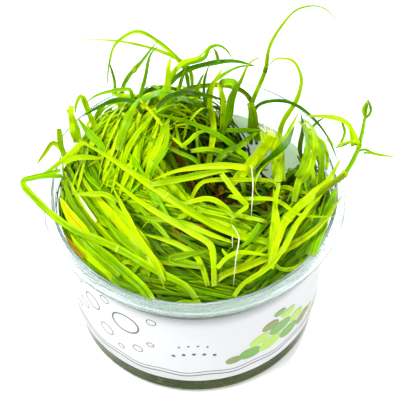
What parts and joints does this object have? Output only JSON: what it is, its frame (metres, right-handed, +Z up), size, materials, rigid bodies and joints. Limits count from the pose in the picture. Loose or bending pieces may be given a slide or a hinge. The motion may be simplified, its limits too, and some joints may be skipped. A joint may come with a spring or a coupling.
{
  "type": "potted creeping rush",
  "caption": "Creeping rush in a clear culture cup: narrow green leaves arch and tumble over the rim of a round cup with a wrap label and olive gel.",
  "frame": {"origin": "middle of the cup's flat bottom", "axes": "+Z up along the cup's axis, the front of the label faces -Y"},
  "size_m": [0.1267, 0.104, 0.1134],
  "materials": {
    "clear_plastic": "clear moulded plastic, faintly blue-green, glossy",
    "label_film": "white satin film with grey and green printed shapes",
    "nutrient_gel": "olive translucent gel, wet",
    "leaf_tangle": "matted fresh leaves and stems, mixed greens",
    "leaf_lime": "fresh lime leaf, finely ribbed, satin",
    "leaf_yellow": "yellow-green leaf, finely ribbed, satin",
    "leaf_green": "mid green leaf, finely ribbed, satin",
    "leaf_dark": "dark green leaf, finely ribbed, satin",
    "leaf_olive": "olive leaf, finely ribbed, satin",
    "leaf_orange": "yellowing leaf with an orange midrib"
  },
  "bodies": {
    "root": {"cup": "clear_plastic", "label": "label_film", "gel": "nutrient_gel", "leaf_mat": "leaf_tangle", "back_leaf_1": "leaf_lime", "back_leaf_2": "leaf_lime", "back_leaf_3": "leaf_green", "back_leaf_4": "leaf_green", "back_leaf_5": "leaf_dark", "back_leaf_6": "leaf_green", "back_leaf_7": "leaf_lime", "back_leaf_8": "leaf_lime", "back_leaf_9": "leaf_olive", "back_leaf_10": "leaf_green", "back_leaf_11": "leaf_olive", "back_leaf_12": "leaf_green", "back_leaf_13": "leaf_lime", "back_leaf_14": "leaf_lime", "tall_arch": "leaf_lime", "right_arch": "leaf_lime", "dark_arch": "leaf_dark", "cut_stub_1": "leaf_lime", "cut_stub_2": "leaf_lime", "left_leaf_1": "leaf_lime", "left_leaf_2": "leaf_green", "left_leaf_3": "leaf_dark", "left_leaf_4": "leaf_green", "left_leaf_5": "leaf_lime", "front_leaf_1": "leaf_green", "front_leaf_2": "leaf_yellow", "front_leaf_3": "leaf_lime", "front_leaf_4": "leaf_green", "front_leaf_5": "leaf_orange", "front_leaf_6": "leaf_lime", "front_leaf_7": "leaf_lime", "front_leaf_8": "leaf_lime", "front_leaf_9": "leaf_yellow", "front_leaf_10": "leaf_lime", "right_leaf_1": "leaf_green", "right_leaf_2": "leaf_olive", "right_leaf_3": "leaf_lime", "right_leaf_4": "leaf_green", "right_leaf_5": "leaf_lime", "right_leaf_6": "leaf_yellow", "right_leaf_7": "leaf_lime", "seedling_stem": "leaf_green", "seedling_leaf": "leaf_lime", "seedling_side_leaf": "leaf_lime", "middle_leaf_1": "leaf_green", "middle_leaf_2": "leaf_green", "middle_leaf_3": "leaf_lime", "middle_leaf_4": "leaf_green", "middle_leaf_5": "leaf_lime", "middle_leaf_6": "leaf_yellow", "middle_leaf_7": "leaf_yellow", "middle_leaf_8": "leaf_olive", "middle_leaf_9": "leaf_lime", "long_leaf_1": "leaf_lime", "long_leaf_2": "leaf_lime", "long_leaf_3": "leaf_lime"}
  },
  "joints": []
}
